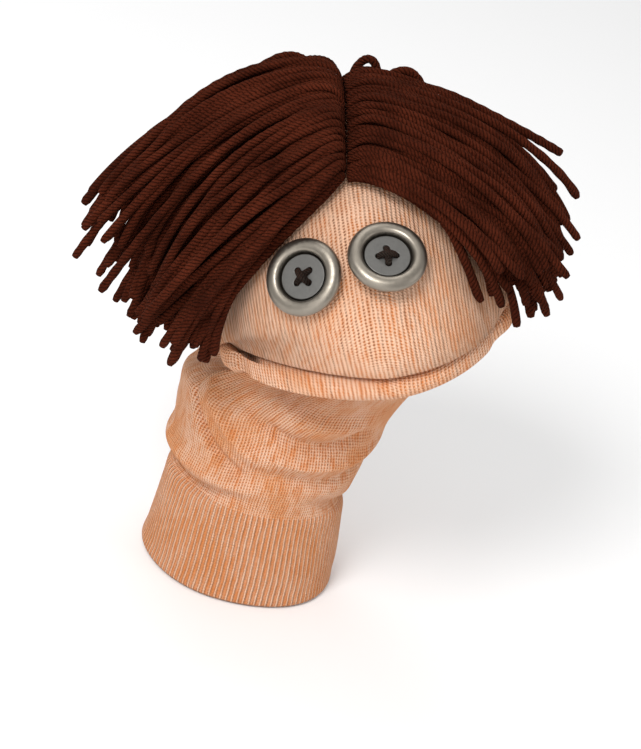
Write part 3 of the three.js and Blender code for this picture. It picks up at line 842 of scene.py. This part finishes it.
def plate_mesh(hole_at, hole, radius, low, high):
    """A disc with four holes, cut by a boolean."""
    def cylinder(x, y, r, z0, z1, sides):
        turn = np.arange(sides) / sides * 2 * math.pi
        ring = np.stack([x + r * np.cos(turn), y + r * np.sin(turn)], -1)
        verts = [(*p, z0) for p in ring] + [(*p, z1) for p in ring]
        faces = [tuple(range(sides))[::-1], tuple(range(sides, 2 * sides))]
        faces += [(i, (i + 1) % sides, sides + (i + 1) % sides, sides + i) for i in range(sides)]
        return np.array(verts), faces
    disc = new_mesh("disc", *cylinder(0, 0, radius, low, high, 96), smooth=False)
    holes, faces, count = [], [], 0
    for x, y in ((1, 1), (-1, 1), (-1, -1), (1, -1)):
        v, f = cylinder(x * hole_at, y * hole_at, hole, low - 2, high + 2, 32)
        holes.append(v)
        faces += [tuple(i + count for i in q) for q in f]
        count += len(v)
    cutter = new_mesh("cutter", np.concatenate(holes), faces, smooth=False)
    cut = disc.modifiers.new("cut", "BOOLEAN")
    cut.operation, cut.solver, cut.object = "DIFFERENCE", "EXACT", cutter
    bevel = disc.modifiers.new("bevel", "BEVEL")
    bevel.width, bevel.segments, bevel.limit_method = 0.25 * MM, 3, "ANGLE"
    made = bpy.data.meshes.new_from_object(disc.evaluated_get(bpy.context.evaluated_depsgraph_get()))
    for junk in (disc, cutter):
        bpy.data.objects.remove(junk)
    return made


RIM = [(7.9, 0.2), (11.4, 0.0), (12.2, 0.25), (12.6, 0.8), (12.7, 1.5), (12.55, 2.2), (12.1, 2.9), (11.4, 3.45),
       (10.5, 3.75), (9.6, 3.8), (8.9, 3.65), (8.4, 3.3), (8.1, 2.8), (7.95, 2.2), (7.9, 1.2)]
# The profile of a dark disc under each plate: painted shade in the groove between the plate and the rim.
WELL_SHADE_DISC = [(0.01, 0.3), (8.1, 0.3), (8.1, 0.8), (0.01, 0.8)]
SPIN = {"left": deg(2), "right": deg(26)}
plate_data = plate_mesh(2.0, 1.0, 7.35, 0.9, 2.1)
for side in ("left", "right"):
    base, axes = button_frame(f"{side}_eye_rim")
    profile = spline(np.array([(r, z) for r, z in RIM + RIM[:1]], float), [4] * len(RIM))[:-1]
    verts, faces = lathe(profile)
    rim = new_mesh(f"{side}_button_rim", place(verts, base, axes), faces)
    rim.data.materials.append(rim_look)
    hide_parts(f"{side}_eye_rim")
    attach(rim, "head")
    data = plate_data.copy()
    co = np.array([v.co for v in data.vertices], float) / MM
    # A dark disc under the plate fills the well: painted shade in the groove between the plate and the rim.
    verts, faces = lathe(WELL_SHADE_DISC)
    well_shade_disc = new_mesh(f"{side}_button_well_shade", place(verts, base, axes), faces, smooth=False)
    well_shade_disc.data.materials.append(thread)
    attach(well_shade_disc, "head")
    data.vertices.foreach_set("co", (place(co, base, axes, SPIN[side]) * MM).astype(np.float32).ravel())
    data.update()
    plate = bpy.data.objects.new(f"{side}_button_plate", data)
    bpy.context.scene.collection.objects.link(plate)
    plate.data.materials.clear()
    plate.data.materials.append(plate_look)
    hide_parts(f"{side}_eye_plate")
    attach(plate, "head")
    tubes = []
    for way, lift in ((1, 0.0), (-1, 0.55)):
        for offset in (-0.66, 0.0, 0.66):
            along = np.array([1, way]) / math.sqrt(2)
            beside = np.array([-way, 1]) / math.sqrt(2) * offset
            ends = 2.0 * math.sqrt(2)
            high = 2.8 + lift - 0.25 * abs(offset)
            points = [(-ends, 1.0), (-ends * 0.98, 2.2), (-ends * 0.6, high), (0, high + 0.35),
                      (ends * 0.6, high), (ends * 0.98, 2.2), (ends, 1.0)]
            path = np.array([(*(along * s + beside * (1 - 0.45 * abs(s) / ends)), z) for s, z in points])
            path = place(spline(path, [6] * 6), base, axes, SPIN[side])
            tubes.append(yarn_tube(path, 0.62, rng.uniform(0, 1), plies=3, sides=12, pitch=2.4))
    stitch = yarn_mesh(f"{side}_eye_thread", tubes)
    stitch.data.materials.append(thread)
    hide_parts(f"{side}_eye_stitch")
    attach(stitch, "head")
    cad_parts[f"{side}_eye_knot"].data.materials.clear()
    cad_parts[f"{side}_eye_knot"].data.materials.append(thread)

# ---- Floor, light and world ----
FLOOR_HALF, FLOOR_TOP = 4000, -1.6
corners = [(x * FLOOR_HALF, y * FLOOR_HALF, FLOOR_TOP) for x, y in ((-1, -1), (1, -1), (1, 1), (-1, 1))]
floor = new_mesh("floor", corners, [(0, 1, 2, 3)], smooth=False)
look = Nodes("floor")
floor.data.materials.append(look.set(Base_Color=(0.93, 0.93, 0.93, 1), Roughness=0.9, Specular_IOR_Level=0.0))
floor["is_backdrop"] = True

world = bpy.data.worlds.new("studio")
bpy.context.scene.world = world
world.use_nodes = True
world.node_tree.nodes["Background"].inputs["Color"].default_value = (1, 1, 1, 1)
world.node_tree.nodes["Background"].inputs["Strength"].default_value = 0.6


def area_light(name, where, size, power):
    data = bpy.data.lights.new(name, "AREA")
    data.shape, data.size, data.energy = "DISK", size, power
    obj = bpy.data.objects.new(name, data)
    bpy.context.scene.collection.objects.link(obj)
    obj.location = where
    aim = Vector((0.01, -0.02, 0.11)) - Vector(where)
    obj.rotation_euler = aim.to_track_quat("-Z", "Y").to_euler()


area_light("key", (-0.6, -0.75, 1.05), 0.5, 12)
area_light("fill", (0.95, -0.6, 0.55), 0.9, 1.8)
area_light("front", (-0.45, -1.1, 0.35), 0.9, 2.6)
area_light("top", (-0.2, 0.4, 1.2), 0.8, 3.4)

scene = bpy.context.scene
scene.view_settings.view_transform = "Standard"
scene.view_settings.look = "None"

low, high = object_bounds()
{"cad": [list(cad_bounds[0]), list(cad_bounds[1])], "visual": [list(low), list(high)]}
